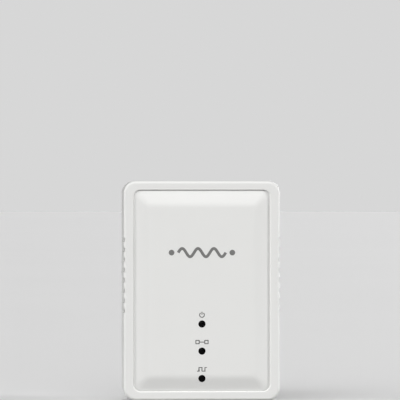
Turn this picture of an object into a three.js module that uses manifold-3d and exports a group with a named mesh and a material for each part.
// A wall-plug powerline network adapter, piece by piece as it comes apart on a bench.
// Millimetres. +Z is up, +Y points at the wall, and +X is to the right as seen from the front.
// The origin is on the flat rear face, midway between the two plug blades.
import * as THREE from 'three';
import { mergeVertices } from 'three/addons/utils/BufferGeometryUtils.js';
import Module from 'manifold-3d';

const wasm = await Module();
wasm.setup();

// ---------------------------------------------------------------- driving dimensions

const WIDTH = 47.3; // casing, left to right
const HEIGHT = 66.6; // casing, bottom to top
const DEPTH = 27.7; // casing, front rim to rear face; the crown stands 0.7 in front of the rim
const PLUG_DROP = 16.5; // the blades' centre line below the casing's top
const CORNER = 3.7; // radius of the four corners, seen from the front
const EDGE = 0.9; // rounding of the front and rear edges
const WALL = 1.8; // casing wall
const CORNER_STEPS = 6; // facets in a quarter turn of a corner
const GAP = 0.3; // clearance between pieces that pass through each other
const SEAT = 0.05; // clearance under a piece that rests on another

const TOP = PLUG_DROP;
const BOTTOM = TOP - HEIGHT;
const MIDDLE = (TOP + BOTTOM) / 2;
const FRONT = -DEPTH;
const PARTING = -7.5; // the front shell's open edge

const RECESS = { width: 41.4, height: 60.9, radius: 2.2, depth: 0.6 };
const PILLOW = { crown: 1.3, margin: 5, steps: 6 }; // the panel's rise, and how far in it ends
const CAVITY = { width: WIDTH - 2 * WALL, height: HEIGHT - 2 * WALL, radius: 1.8, front: -25.6 };
const LIP = { front: -9.2, thick: 1, rear: -2 }; // the rear shell's lip, inside the front shell
const POST = { x: 16, low: -25, high: 9, radius: 1.6 }; // the rear shell's posts, under the board

const VENT = { count: 8, pitch: 3.08, first: -1.3, height: 1.5, groove: 0.4, rear: -9.5 };
const VENT_SLOT = { height: 0.9, front: -24.4, rear: -11 };

// Each lamp's height above the casing's bottom, and how far its light pipe sits below the crown.
const LAMPS = {
  upper: { height: 23.3, sunk: 0.35 },
  middle: { height: 15.1, sunk: 0.35 },
  lower: { height: 6.8, sunk: 0.75 },
};
const LAMP_HOLE = 1.1; // radius

const BLADE = { apart: 12.7, thick: 1.5, length: 17, neutral: 7.9, line: 6.35 };
const BLADE_HOLE = { radius: 1.6, y: 11.9 };

const JACK = { x: -7, width: 16, low: BOTTOM + 1.2, high: BOTTOM + 19.2, front: -21.35, rear: -7.9 };
const PORT = { width: 11.9, front: -18.3, rear: -11.4, depth: 13.3, latch: 6.2, latchRear: -9.6 };
const CONTACT = { count: 8, pitch: 1.02, width: 0.4 };

const SWITCH_Y = -18.2; // axis of both push switches
const PAIR = { x: 7.5, width: 6, depth: 4, radius: 1.2, proud: 0.7 };
const RESET_X = 14;
const PINHOLE = 1; // radius

const LOGIC_BOARD = { width: 41.2, low: BOTTOM + 2.3, high: 13, front: -22.6, rear: -21.4 };
const POWER_BOARD = { width: 39.8, low: -29, high: 13, front: -5.4, rear: -3.8 };
const SHEET = { front: -16.3, rear: -16, width: 39.4 };
const HEADER = { pins: 6, pitch: 2.54, pin: 0.64, z: 10.4, bar: 2.5, front: -23.2, rear: -3.2 };

const CASE_SCREW = { x: 18.4, z: -37, head: 2.2, rise: 1.8, shank: 1, length: 9, sink: 3.2 };
const CASE_BOSS = { radius: 3, rear: -9.6, pilot: -18, rearRadius: 3.6, rearFront: -6 };
const BOARD_SCREW = { x: 17, z: 9.5, head: 1.9, rise: 1.3, shank: 0.8, length: 4 };
const BOARD_BOSS = { radius: 2.6, pilot: -26.3 };
const LABEL = { width: 32, height: 16, z: -24, radius: 1.5, recess: 0.4, thick: 0.25 };

// ---------------------------------------------------------------- finishes

const FINISH = {
  casing: { color: 0xe4e4e1, roughness: 0.42 },
  lens: { color: 0x101113, roughness: 0.2 },
  label: { color: 0xc9cacb, roughness: 0.6 },
  plating: { color: 0xc9c4b2, roughness: 0.28, metalness: 1 },
  steel: { color: 0x8d9095, roughness: 0.35, metalness: 1 },
  board: { color: 0x1d5b36, roughness: 0.5 },
  film: { color: 0xd9d2b4, roughness: 0.55 },
  package: { color: 0x1b1c1e, roughness: 0.6 },
  socket: { color: 0x232426, roughness: 0.45 },
  gold: { color: 0xd0a54a, roughness: 0.25, metalness: 1 },
  ferrite: { color: 0x3a3b3e, roughness: 0.7 },
  copper: { color: 0xb4683a, roughness: 0.35, metalness: 1 },
  tape: { color: 0xd8b53a, roughness: 0.5 },
  sleeve: { color: 0x20293f, roughness: 0.4 },
  ceramicBlue: { color: 0x2e5f9e, roughness: 0.55 },
  filmCapacitor: { color: 0xd0a32c, roughness: 0.5 },
  fuse: { color: 0x4a3a30, roughness: 0.5 },
  aluminium: { color: 0xa9acb0, roughness: 0.4, metalness: 1 },
  pad: { color: 0x8f99a6, roughness: 0.9 },
  lamp: { color: 0xe8e4c8, roughness: 0.4 },
};

// ---------------------------------------------------------------- solids

/** A three.js geometry as a solid, its shared vertices merged. */
function solid(geometry) {
  const bare = geometry.index ? geometry.toNonIndexed() : geometry.clone();
  bare.deleteAttribute('normal');
  bare.deleteAttribute('uv');
  const merged = mergeVertices(bare, 1e-4);
  const vertProperties = merged.attributes.position.array;
  const triVerts = new Uint32Array(merged.index.array);
  return new wasm.Manifold(new wasm.Mesh({ numProp: 3, vertProperties, triVerts }));
}

/** A solid as a three.js geometry. */
function geometryOf(body) {
  const { vertProperties, triVerts } = body.getMesh();
  const geometry = new THREE.BufferGeometry();
  geometry.setAttribute('position', new THREE.BufferAttribute(vertProperties, 3));
  geometry.setIndex(new THREE.BufferAttribute(triVerts, 1));
  geometry.computeVertexNormals();
  return geometry;
}

const join = (bodies) => bodies.reduce((whole, body) => whole.add(body));
const cut = (body, tools) => tools.reduce((left, tool) => left.subtract(tool), body);

/** A named mesh with its finish. */
function piece(name, body, finish) {
  const mesh = new THREE.Mesh(geometryOf(body), new THREE.MeshStandardMaterial(FINISH[finish]));
  mesh.name = name;
  return mesh;
}

/** A box from its spans along X, Y and Z. */
function box([x0, x1], [y0, y1], [z0, z1]) {
  const geometry = new THREE.BoxGeometry(x1 - x0, y1 - y0, z1 - z0);
  geometry.translate((x0 + x1) / 2, (y0 + y1) / 2, (z0 + z1) / 2);
  return solid(geometry);
}

const about = (middle, size) => [middle - size / 2, middle + size / 2];

// How an outline drawn in X and Y is turned so that it is extruded along each axis.
const vector = (x, y, z) => new THREE.Vector3(x, y, z);
const TURN = {
  x: new THREE.Matrix4().makeBasis(vector(0, 1, 0), vector(0, 0, 1), vector(1, 0, 0)),
  y: new THREE.Matrix4().makeBasis(vector(1, 0, 0), vector(0, 0, 1), vector(0, -1, 0)),
  z: new THREE.Matrix4(),
};

/** An outline extruded along an axis; the outline's own axes are the other two, in X, Y, Z order. */
function prism(outline, axis, [low, high], [a, b] = [0, 0], curveSegments = 4) {
  const settings = { depth: high - low, bevelEnabled: false, curveSegments };
  const geometry = new THREE.ExtrudeGeometry(outline, settings);
  geometry.translate(a, b, axis === 'y' ? -high : low);
  geometry.applyMatrix4(TURN[axis]);
  return solid(geometry);
}

function roundedOutline(width, height, radius) {
  const [x, y] = [width / 2 - radius, height / 2 - radius];
  const outline = new THREE.Shape();
  outline.absarc(x, -y, radius, -Math.PI / 2, 0);
  outline.absarc(x, y, radius, 0, Math.PI / 2);
  outline.absarc(-x, y, radius, Math.PI / 2, Math.PI);
  outline.absarc(-x, -y, radius, Math.PI, 1.5 * Math.PI);
  return outline;
}

function rod(axis, radius, span, at, sides = 20) {
  const outline = new THREE.Shape();
  outline.absarc(0, 0, radius, 0, 2 * Math.PI);
  return prism(outline, axis, span, at, sides / 2);
}

/** A body of revolution about Y, from its profile of [radius, height] points, bottom to top. */
function turned(profile, sides = 20) {
  const points = profile.map(([radius, height]) => new THREE.Vector2(radius, height));
  return solid(new THREE.LatheGeometry(points, sides));
}

/** A rectangular ring about Y. */
function hoop([inner, outer], [low, high], sides = 28) {
  return turned([[inner, low], [outer, low], [outer, high], [inner, high], [inner, low]], sides);
}

/** The casing's outline at one depth, counter-clockwise as seen from the front. */
function ring(width, height, radius, y) {
  const points = [];
  const corners = [[1, -1], [1, 1], [-1, 1], [-1, -1]];
  corners.forEach(([sideX, sideZ], corner) => {
    const x = sideX * (width / 2 - radius);
    const z = MIDDLE + sideZ * (height / 2 - radius);
    for (let step = 0; step <= CORNER_STEPS; step++) {
      const angle = (corner - 1 + step / CORNER_STEPS) * (Math.PI / 2);
      points.push(vector(x + radius * Math.cos(angle), y, z + radius * Math.sin(angle)));
    }
  });
  return points;
}

/** A closed body through matching rings, given from the rear to the front. */
function loft(rings) {
  const count = rings[0].length;
  const last = (rings.length - 1) * count;
  const index = [];
  for (let row = 0; row < last; row += count) {
    for (let i = 0; i < count; i++) {
      const j = (i + 1) % count;
      index.push(row + i, row + j, row + count + j);
      index.push(row + i, row + count + j, row + count + i);
    }
  }
  for (let i = 1; i + 1 < count; i++) {
    index.push(0, i + 1, i);
    index.push(last, last + i, last + i + 1);
  }
  const geometry = new THREE.BufferGeometry().setFromPoints(rings.flat());
  geometry.setIndex(index);
  return solid(geometry);
}

/** A block with the casing's outline, the edge at its far end rounded over. */
function roundedBlock(from, to, edge) {
  const towards = Math.sign(to - from);
  const rings = [ring(WIDTH, HEIGHT, CORNER, from)];
  const steps = 3;
  for (let step = 0; step <= steps; step++) {
    const angle = (step / steps) * (Math.PI / 2);
    const inset = edge * (1 - Math.cos(angle));
    const y = to - towards * edge * (1 - Math.sin(angle));
    rings.push(ring(WIDTH - 2 * inset, HEIGHT - 2 * inset, CORNER - inset, y));
  }
  return loft(towards < 0 ? rings : rings.reverse());
}

// ---------------------------------------------------------------- casing

/** The front panel's crown: flat in the middle, falling away to its edge. */
function pillow() {
  const { width, height, radius, depth } = RECESS;
  const rings = [ring(width, height, radius, FRONT + depth + WALL / 2)];
  for (let step = 0; step <= PILLOW.steps; step++) {
    const along = step / PILLOW.steps;
    const inset = PILLOW.margin * along;
    const rise = PILLOW.crown * (1 - (1 - along) ** 2);
    const corner = radius * (1 - along * 0.3);
    rings.push(ring(width - 2 * inset, height - 2 * inset, corner, FRONT + depth - rise));
  }
  return loft(rings);
}

function recess() {
  const { width, height, radius, depth } = RECESS;
  const chamfer = 0.25;
  const flare = 2 * (chamfer + depth);
  return loft([
    ring(width, height, radius, FRONT + depth),
    ring(width, height, radius, FRONT + chamfer),
    ring(width + flare, height + flare, radius + flare / 2, FRONT - depth),
  ]);
}

/** Vent grooves run in from the front edge, and a narrower slot in each goes through the wall. */
function vents() {
  const cuts = [];
  for (const side of [-1, 1]) {
    const span = (inner, outer) => [side * inner, side * outer].sort((a, b) => a - b);
    const face = WIDTH / 2;
    for (let i = 0; i < VENT.count; i++) {
      const z = VENT.first - i * VENT.pitch;
      const outside = [FRONT - 1, VENT.rear];
      cuts.push(box(span(face - VENT.groove, face + 1), outside, about(z, VENT.height)));
      const through = [VENT_SLOT.front, VENT_SLOT.rear];
      cuts.push(box(span(face - WALL - 1, face + 1), through, about(z, VENT_SLOT.height)));
    }
  }
  return cuts;
}

/** The openings in the bottom wall: socket, push button and reset pinhole. */
function bottomOpenings() {
  const wall = [BOTTOM - 1, BOTTOM + WALL + 0.5];
  const socket = box(about(JACK.x, JACK.width + 2 * GAP), [JACK.front - GAP, PARTING + 1], wall);
  const button = roundedOutline(PAIR.width + 2 * GAP, PAIR.depth + 2 * GAP, PAIR.radius + GAP);
  return [
    socket,
    prism(button, 'z', wall, [PAIR.x, SWITCH_Y]),
    rod('z', PINHOLE, wall, [RESET_X, SWITCH_Y], 16),
  ];
}

const eachSide = (make) => [make(-1), make(1)];

function frontShell() {
  const outside = roundedBlock(PARTING, FRONT, EDGE).subtract(recess()).add(pillow());
  const { width, height, radius, front } = CAVITY;
  const inside = loft([
    ring(width, height, radius, PARTING + 1),
    ring(width, height, radius, front),
  ]);
  const boardAt = (side) => [side * BOARD_SCREW.x, BOARD_SCREW.z];
  const caseAt = (side) => [side * CASE_SCREW.x, CASE_SCREW.z];
  const boss = (side) => join([
    rod('y', BOARD_BOSS.radius, [front - 1, LOGIC_BOARD.front - SEAT], boardAt(side)),
    rod('y', CASE_BOSS.radius, [front - 1, CASE_BOSS.rear], caseAt(side)),
  ]);
  const pilot = (side) => join([
    rod('y', BOARD_SCREW.shank + GAP, [BOARD_BOSS.pilot, LOGIC_BOARD.front + 1], boardAt(side)),
    rod('y', CASE_SCREW.shank + GAP, [CASE_BOSS.pilot, CASE_BOSS.rear + 1], caseAt(side)),
  ]);
  const lampHole = ({ height }) =>
    rod('y', LAMP_HOLE, [FRONT - 2, front + 1], [0, BOTTOM + height]);
  const shell = outside.subtract(inside).add(join(eachSide(boss)));
  const holes = [...eachSide(pilot), ...Object.values(LAMPS).map(lampHole)];
  return cut(shell, [...holes, ...vents(), ...bottomOpenings()]);
}

/** The shallow rear shell: a lip that goes inside the front shell, posts, and the blade slots. */
function rearShell() {
  const edge = PARTING + GAP;
  const [width, height] = [CAVITY.width - 2 * GAP, CAVITY.height - 2 * GAP];
  const radius = CAVITY.radius - GAP;
  const lip = loft([ring(width, height, radius, LIP.rear), ring(width, height, radius, LIP.front)]);
  const within = (y) => ring(width - 2 * LIP.thick, height - 2 * LIP.thick, radius / 2, y);
  const hollow = loft([within(-WALL), within(LIP.front - 1)]);
  const tray = roundedBlock(edge, 0, EDGE).add(lip).subtract(hollow);
  const support = (side) => join([
    rod('y', POST.radius, [POWER_BOARD.rear + SEAT, -1], [side * POST.x, POST.low], 12),
    rod('y', POST.radius, [POWER_BOARD.rear + SEAT, -1], [side * POST.x, POST.high], 12),
    rod('y', CASE_BOSS.rearRadius, [CASE_BOSS.rearFront, -1], [side * CASE_SCREW.x, CASE_SCREW.z]),
  ]);
  return cut(join([tray, ...eachSide(support)]), rearOpenings(edge));
}

/** The label's recess, the blade slots, the screw holes and room in the lip for the socket. */
function rearOpenings(edge) {
  const label = roundedOutline(LABEL.width, LABEL.height, LABEL.radius);
  const slot = (width, x) => box(about(x, BLADE.thick + 2 * GAP), [-3, 1], about(0, width + 2 * GAP));
  const screwHole = (side) => rod('y', CASE_SCREW.shank + GAP, [LIP.front, 1],
    [side * CASE_SCREW.x, CASE_SCREW.z]);
  const screwSink = (side) => rod('y', CASE_SCREW.head + GAP, [-CASE_SCREW.sink, 1],
    [side * CASE_SCREW.x, CASE_SCREW.z]);
  return [
    prism(label, 'y', [-LABEL.recess, 1], [0, LABEL.z]),
    slot(BLADE.neutral, -BLADE.apart / 2),
    slot(BLADE.line, BLADE.apart / 2),
    ...eachSide(screwHole),
    ...eachSide(screwSink),
    box(about(JACK.x, JACK.width + 2 * GAP), [LIP.front - 1, edge], [JACK.low, BOTTOM + 4]),
  ];
}

function casing() {
  const label = roundedOutline(LABEL.width - 2 * GAP, LABEL.height - 2 * GAP, LABEL.radius - GAP);
  const labelSpan = [-LABEL.recess + SEAT, -LABEL.recess + SEAT + LABEL.thick];
  const headTop = CASE_SCREW.rise + SEAT - CASE_SCREW.sink;
  const group = new THREE.Group();
  group.add(
    piece('front_shell', frontShell(), 'casing'),
    piece('rear_shell', rearShell(), 'casing'),
    piece('rear_label', prism(label, 'y', labelSpan, [0, LABEL.z]), 'label'),
    screw('case_screw_left', CASE_SCREW, [-CASE_SCREW.x, headTop]),
    screw('case_screw_right', CASE_SCREW, [CASE_SCREW.x, headTop]),
  );
  return group;
}

/** A cross-recess pan-head screw driven towards -Y, its head's top at the given place. */
function screw(name, { z, head, rise, shank, length }, [x, y]) {
  const tip = -rise - length;
  const profile = [
    [0, tip], [shank * 0.4, tip], [shank, tip + shank], [shank, -rise], [head, -rise],
    [head, -rise * 0.35], [head * 0.7, 0], [0, 0],
  ];
  const [arm, wide, sunk] = [head * 1.1, 0.45, [-rise * 0.5, 1]];
  const cross = [box(about(0, arm), sunk, about(0, wide)), box(about(0, wide), sunk, about(0, arm))];
  const mesh = piece(name, cut(turned(profile, 16), cross), 'steel');
  mesh.position.set(x, y, z);
  return mesh;
}

// ---------------------------------------------------------------- plug

/** A flat blade: full width outside, a shoulder behind the wall, and a tail into the board. */
function blade(name, x, width) {
  const [tail, shoulder, half, thin] = [2, 4.8, width / 2, BLADE.thick / 2];
  const [tailEnd, shoulderFront, shoulderRear] = [-6.3, -3.1, -WALL - SEAT];
  const [tip, point, drawnIn] = [BLADE.length, 1.6, 1.2];
  const edge = [
    [tailEnd, tail], [shoulderFront, tail], [shoulderFront, shoulder], [shoulderRear, shoulder],
    [shoulderRear, half], [tip - point, half], [tip, half - drawnIn],
  ];
  const mirrored = edge.map(([y, z]) => [y, -z]).reverse();
  const run = [
    [-thin, tailEnd - 1], [thin, tailEnd - 1], [thin, tip - point], [0.3, tip], [-0.3, tip],
    [-thin, tip - point],
  ];
  const outline = (points) => new THREE.Shape(points.map(([a, b]) => new THREE.Vector2(a, b)));
  const side = prism(outline([...edge, ...mirrored]), 'x', [-1, 1]);
  const section = prism(outline(run), 'z', [-6, 6]);
  const hole = rod('x', BLADE_HOLE.radius, [-2, 2], [BLADE_HOLE.y, 0], 16);
  const mesh = piece(name, side.intersect(section).subtract(hole), 'plating');
  mesh.position.x = x;
  return mesh;
}

function plug() {
  const group = new THREE.Group();
  group.add(
    blade('blade_neutral', -BLADE.apart / 2, BLADE.neutral),
    blade('blade_line', BLADE.apart / 2, BLADE.line),
  );
  return group;
}

// ---------------------------------------------------------------- parts that sit on the boards
// Each is drawn standing on the plane Y = 0 and rising along +Y, centred on X = Z = 0.

function block(width, rise, height) {
  return box(about(0, width), [0, rise], about(0, height));
}

/** A moulded package with a row of legs along two sides. */
function packaged(width, rise, height, legs, pitch) {
  const [reach, bite, leg] = [0.7, 0.2, pitch * 0.5];
  const parts = [box(about(0, width), [0.15, rise], about(0, height))];
  for (let i = 0; i < legs; i++) {
    const z = about((i - (legs - 1) / 2) * pitch, leg);
    const right = [width / 2 - bite, width / 2 + reach];
    const left = [-width / 2 - reach, bite - width / 2];
    parts.push(box(right, [0, rise * 0.5], z), box(left, [0, rise * 0.5], z));
  }
  return join(parts);
}

/** A can capacitor lying along Z, with its crimped neck. */
function can(radius, length) {
  const profile = [
    [0, 0], [radius - 0.3, 0], [radius, 0.3], [radius, 1.3], [radius - 0.45, 1.7], [radius, 2.1],
    [radius, length - 0.4], [radius - 0.4, length], [0, length],
  ];
  return turned(profile).rotate([90, 0, 0]).translate([0, radius, -length / 2]);
}

/** A round disc standing on two wire legs. */
function disc(radius, thick) {
  const [stand, wire] = [1.5, 0.6];
  const body = rod('z', radius, about(0, thick), [0, radius + stand]);
  const leg = (side) => box(about(side * radius * 0.55, wire), [0, radius], about(0, wire));
  return join([body, ...eachSide(leg)]);
}

/** A box capacitor with a chamfered top. */
function boxCapacitor(width, rise, height) {
  const outline = new THREE.Shape();
  const [half, chamfer] = [width / 2, 0.8];
  const points = [
    [-half, 0], [half, 0], [half, rise - chamfer], [half - chamfer, rise],
    [chamfer - half, rise], [-half, rise - chamfer],
  ];
  outline.setFromPoints(points.map(([x, y]) => new THREE.Vector2(x, y)));
  return prism(outline, 'z', about(0, height));
}

/** A pair of facing E cores: an outer frame with two windows either side of the middle leg. */
function eCore(width, [low, high], thick) {
  const [leg, window, bar] = [width * 0.14, width * 0.22, (high - low) * 0.22];
  const opening = (side) => {
    const span = [side * leg, side * (leg + window)].sort((a, b) => a - b);
    return box(span, [low + bar, high - bar], about(0, thick + 2));
  };
  return cut(box(about(0, width), [low, high], about(0, thick)), eachSide(opening));
}

/** The winding former that fits the E core, with a foot at each end. */
function eBobbin(width, [low, high], thick) {
  const [leg, window, bar] = [width * 0.14, width * 0.22, (high - low) * 0.22];
  const across = 2 * (leg + window - GAP);
  const rise = [low + bar + GAP, high - bar - GAP];
  const reach = thick + 5.4;
  const winding = box(about(0, across), rise, about(0, reach));
  const core = box(about(0, 2 * (leg + GAP)), [low, high], about(0, thick + 2 * GAP));
  const foot = (side) => box(about(0, width - 2), [0, rise[0] + 1], about(side * (thick / 2 + 1.6), 2.2));
  return join([winding, ...eachSide(foot)]).subtract(core);
}

function finned(width, height, base, fins, rise) {
  const parts = [block(width, base, height)];
  for (let i = 0; i < fins; i++) {
    const x = (i / (fins - 1) - 0.5) * (width - 0.8);
    parts.push(box(about(x, 0.8), [0, rise], about(0, height)));
  }
  return join(parts);
}

/** Half of a toroid's winding: a sleeve round the core, open at both ends. */
function halfCoil(side) {
  const sleeve = hoop([2.2, 6.5], [0, 5.6]).subtract(hoop([2.9, 5.9], [0.6, 5]));
  const span = [side * 1.3, side * 8].sort((a, b) => a - b);
  return sleeve.intersect(box(span, [-1, 7], [-8, 8]));
}

// ---------------------------------------------------------------- boards

/** A group whose +Y stands away from a board's face, and a way to put a part on it. */
function boardFace(y, facing) {
  const group = new THREE.Group();
  group.position.y = y + facing * SEAT;
  group.rotation.z = facing > 0 ? 0 : Math.PI;
  const put = (name, body, finish, x, z, lift = 0) => {
    const mesh = piece(name, body, finish);
    mesh.position.set(facing * x, lift, z);
    group.add(mesh);
  };
  return { group, put };
}

const headerX = (i) => (i - (HEADER.pins - 1) / 2) * HEADER.pitch;

function headerHoles([low, high]) {
  const size = HEADER.pin + 2 * GAP;
  const hole = (_, i) => box(about(headerX(i), size), [low - 1, high + 1], about(HEADER.z, size));
  return Array.from({ length: HEADER.pins }, hole);
}

function powerBoardPlate() {
  const { width, low, high, front, rear } = POWER_BOARD;
  const plate = box(about(0, width), [front, rear], [low, high]);
  const slot = (side) => box(about(side * (BLADE.apart / 2), BLADE.thick + 2 * GAP),
    [front - 1, rear + 1], about(0, 4 + 2 * GAP));
  return cut(plate, [...eachSide(slot), ...headerHoles([front, rear])]);
}

function logicBoardPlate() {
  const { width, low, high, front, rear } = LOGIC_BOARD;
  const plate = box(about(0, width), [front, rear], [low, high]);
  const through = [front - 1, rear + 1];
  const notch = (side) => rod('y', CASE_BOSS.radius + GAP, through,
    [side * CASE_SCREW.x, CASE_SCREW.z]);
  const screwHole = (side) => rod('y', BOARD_SCREW.shank + GAP, through,
    [side * BOARD_SCREW.x, BOARD_SCREW.z], 12);
  const cuts = [...eachSide(notch), ...eachSide(screwHole), ...headerHoles([front, rear])];
  return cut(plate, cuts);
}

/** The mains board: input protection, filter, rectifier, flyback supply and line coupling. */
function powerBoard() {
  const { group, put } = boardFace(POWER_BOARD.front, -1);
  put('inlet_fuse', turned([[0, 0], [4.1, 0], [4.1, 7], [3.6, 7.7], [0, 7.7]]), 'fuse', 14.6, 4.6);
  put('varistor', disc(3.8, 3.6), 'ceramicBlue', 14.4, -3);
  put('interference_capacitor', boxCapacitor(12.5, 10, 5), 'filmCapacitor', 0, 6.2);
  put('choke_core', hoop([3.2, 5.6], [0.9, 4.7]), 'ferrite', -13.3, 5.6);
  put('choke_coil_left', halfCoil(1), 'copper', -13.3, 5.6);
  put('choke_coil_right', halfCoil(-1), 'copper', -13.3, 5.6);
  put('bridge_rectifier', packaged(4, 2.5, 6.2, 2, 5), 'package', -14, -6.4);
  put('bulk_capacitor_upper', can(4, 15), 'sleeve', 15, -14.2);
  put('bulk_capacitor_lower', can(4, 15), 'sleeve', 6.4, -14.2);
  put('transformer_core', eCore(12.6, [1.6, 9.8], 6), 'ferrite', -7, -18.6);
  put('transformer_bobbin', eBobbin(12.6, [1.6, 9.8], 6), 'tape', -7, -18.6);
  put('safety_capacitor', disc(3, 2.6), 'ceramicBlue', -16.6, -13);
  put('supply_controller', packaged(4, 1.7, 4.9, 4, 1.27), 'package', -6.4, -8.6);
  put('output_diode', packaged(4.2, 2.2, 2.6, 1, 3), 'package', 0, -8.6);
  put('output_capacitor', can(3.1, 9), 'sleeve', -16.8, -22.4);
  put('coupling_transformer', block(8, 7, 5.4), 'ferrite', 13.6, -25.6);
  put('coupling_capacitor', boxCapacitor(7.2, 6.5, 3.6), 'filmCapacitor', 4.4, -25.9);
  return group;
}

/** The logic board's rear side: the powerline chip under its heat sink, network parts, memory. */
function logicBoardRear() {
  const { group, put } = boardFace(LOGIC_BOARD.rear, 1);
  put('powerline_chip', packaged(12, 0.95, 12, 12, 0.9), 'package', 6.6, -10.4);
  put('thermal_pad', block(10, 0.4, 10), 'pad', 6.6, -10.4, 1);
  put('heat_sink', finned(14, 14, 1, 7, 3.3), 'aluminium', 6.6, -10.4, 1.45);
  put('network_chip', packaged(5, 0.9, 5, 6, 0.8), 'package', -9, -12.8);
  put('memory_chip', packaged(6, 1, 12.6, 12, 0.8), 'package', 8.2, 2.6);
  put('flash_chip', packaged(4, 1.6, 4.9, 4, 1.27), 'package', -6.4, 2);
  put('crystal', roundedCrystal(), 'steel', -14.6, -4.6);
  put('line_magnetics', packaged(7.4, 4.6, 12.6, 8, 1.27), 'package', -10, -23);
  return group;
}

function roundedCrystal() {
  return prism(roundedOutline(4.6, 11, 2.2), 'y', [0, 3.5], [0, 0], 3);
}

/** The three lamps on the logic board's front side, each under its hole in the front shell. */
function lamps() {
  const { group, put } = boardFace(LOGIC_BOARD.front, -1);
  for (const [level, { height }] of Object.entries(LAMPS)) {
    const chip = join([block(1.6, 0.5, 0.8), block(1, 0.75, 0.8)]);
    put('lamp_' + level, chip, 'lamp', 0, BOTTOM + height);
  }
  return group;
}

/** A light pipe: a narrow tip in the hole of the front panel and a wider foot over the lamp. */
function lightPipe([level, { height, sunk }]) {
  const lampRoom = 0.95;
  const [foot, footFront, footRear] = [1.9, CAVITY.front + SEAT, LOGIC_BOARD.front - lampRoom];
  const tip = FRONT + RECESS.depth - PILLOW.crown + sunk;
  const [radius, chamfer] = [LAMP_HOLE - GAP, 0.25];
  const profile = [
    [0, tip], [radius - chamfer, tip], [radius, tip + chamfer], [radius, footFront],
    [foot, footFront], [foot, footRear], [0, footRear],
  ];
  const mesh = piece('light_pipe_' + level, turned(profile, 16), 'lens');
  mesh.position.z = BOTTOM + height;
  return mesh;
}

/** The pin header between the boards: a block on the mains board and pins through both. */
function boardHeader() {
  const { pins, pitch, pin, z, bar, front, rear } = HEADER;
  const body = box(about(0, pins * pitch), [POWER_BOARD.front - bar, POWER_BOARD.front - SEAT],
    about(z, bar));
  const post = (_, i) => box(about(headerX(i), pin), [front, rear], about(z, pin));
  return join([body, ...Array.from({ length: pins }, post)]);
}

function insulatingSheet() {
  const { front, rear, width } = SHEET;
  const film = box(about(0, width), [front, rear], [POWER_BOARD.low, POWER_BOARD.high - 0.4]);
  const slot = box(about(0, HEADER.pins * HEADER.pitch + 1), [front - 1, rear + 1],
    about(HEADER.z, HEADER.bar + 0.1));
  const screwRoom = (side) => rod('y', BOARD_SCREW.head + 1, [front - 1, rear + 1],
    [side * BOARD_SCREW.x, BOARD_SCREW.z]);
  return cut(film, [slot, ...eachSide(screwRoom)]);
}

function boards() {
  const group = new THREE.Group();
  const headTop = LOGIC_BOARD.rear + SEAT + BOARD_SCREW.rise;
  group.add(
    piece('power_board', powerBoardPlate(), 'board'),
    piece('logic_board', logicBoardPlate(), 'board'),
    piece('board_header', boardHeader(), 'socket'),
    piece('insulating_sheet', insulatingSheet(), 'film'),
    screw('board_screw_left', BOARD_SCREW, [-BOARD_SCREW.x, headTop]),
    screw('board_screw_right', BOARD_SCREW, [BOARD_SCREW.x, headTop]),
    powerBoard(),
    logicBoardRear(),
    lamps(),
    ...Object.entries(LAMPS).map(lightPipe),
  );
  return group;
}

// ---------------------------------------------------------------- network socket

const contactX = (i) => JACK.x + (i - (CONTACT.count - 1) / 2) * CONTACT.pitch;

/** The socket's body: a cavity for the plug, a latch notch, and a slot for each contact. */
function jackHousing() {
  const { x, width, low, high, front, rear } = JACK;
  const roof = low + PORT.depth;
  const body = box(about(x, width), [front, rear], [low, high]);
  const cavity = box(about(x, PORT.width), [PORT.front, PORT.rear], [low - 1, roof]);
  const latch = box(about(x, PORT.latch), [PORT.rear - 1, PORT.latchRear], [low - 1, roof - 2]);
  const comb = Array.from({ length: CONTACT.count }, (_, i) =>
    box(about(contactX(i), CONTACT.width + 0.3), [PORT.front - 1.6, PORT.front + 1],
      [low + 1.4, roof + 1.5]));
  return cut(body, [cavity, latch, ...comb]);
}

/** One spring contact: up its slot, over the top and back down at a slant into the cavity. */
function jackContact(i) {
  const root = PORT.front - 0.9;
  const low = JACK.low + 3.2;
  const high = JACK.low + PORT.depth + 1;
  const thick = 0.3;
  const [dip, dipLow] = [PORT.front + 0.9, high - 4];
  const line = [
    [root, low], [root, high], [root + thick, high], [root + thick, low + 1.2],
    [dip, dipLow], [dip + thick, dipLow - 0.2], [root + thick, low],
  ];
  const outline = new THREE.Shape(line.map(([y, z]) => new THREE.Vector2(y, z)));
  return prism(outline, 'x', about(contactX(i), CONTACT.width));
}

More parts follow.
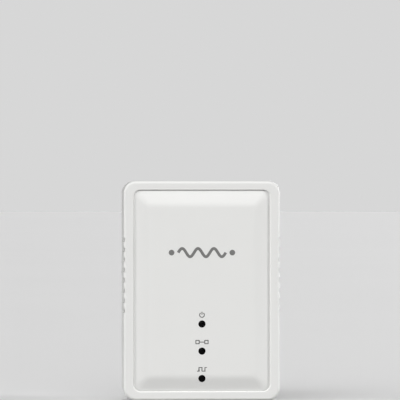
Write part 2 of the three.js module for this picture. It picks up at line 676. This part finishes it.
function socket() {
  const group = new THREE.Group();
  group.add(piece('jack_housing', jackHousing(), 'socket'));
  for (let i = 0; i < CONTACT.count; i++) {
    group.add(piece('jack_contact_' + (i + 1), jackContact(i), 'gold'));
  }
  return group;
}

// ---------------------------------------------------------------- push switches

const SWITCH = { size: 5.6, low: BOTTOM + 5.6, high: BOTTOM + 9.1, deep: 2.2 };
const PLUNGER = { width: 2.4, thick: 1.6, inside: 1.3 };
const FLANGE = { low: BOTTOM + WALL + 0.35, high: BOTTOM + WALL + 1.35 };

/** A right-angle tact switch body with the hole that its plunger slides in. */
function switchBody(x) {
  const { size, low, high, deep } = SWITCH;
  const body = box(about(x, size), [LOGIC_BOARD.rear + SEAT, SWITCH_Y + size / 2], [low, high]);
  const bore = box(about(x, PLUNGER.width + 2 * GAP), about(SWITCH_Y, PLUNGER.thick + 2 * GAP),
    [low - 1, low + deep]);
  return body.subtract(bore);
}

function plunger(x, low) {
  const high = SWITCH.low + PLUNGER.inside;
  return box(about(x, PLUNGER.width), about(SWITCH_Y, PLUNGER.thick), [low, high]);
}

/** The button cap: a rounded stem through the wall and a flange that keeps it in. */
function buttonCap() {
  const { x, width, depth, radius, proud } = PAIR;
  const at = [x, SWITCH_Y];
  const stem = prism(roundedOutline(width, depth, radius), 'z', [BOTTOM - proud, FLANGE.low + 0.2], at);
  const flange = prism(roundedOutline(width + 1.8, depth + 1.6, radius), 'z',
    [FLANGE.low, FLANGE.high], at);
  const dish = rod('z', 1.1, [BOTTOM - proud - 1, BOTTOM - proud + 0.2], at, 16);
  return stem.add(flange).subtract(dish);
}

function switches() {
  const group = new THREE.Group();
  group.add(
    piece('pair_button', buttonCap(), 'casing'),
    piece('pair_plunger', plunger(PAIR.x, FLANGE.high + SEAT), 'package'),
    piece('pair_switch', switchBody(PAIR.x), 'package'),
    piece('reset_plunger', plunger(RESET_X, BOTTOM + 3), 'package'),
    piece('reset_switch', switchBody(RESET_X), 'package'),
  );
  return group;
}

// ---------------------------------------------------------------- whole adapter

const adapter = new THREE.Group();
adapter.add(casing(), plug(), boards(), socket(), switches());

export default adapter;
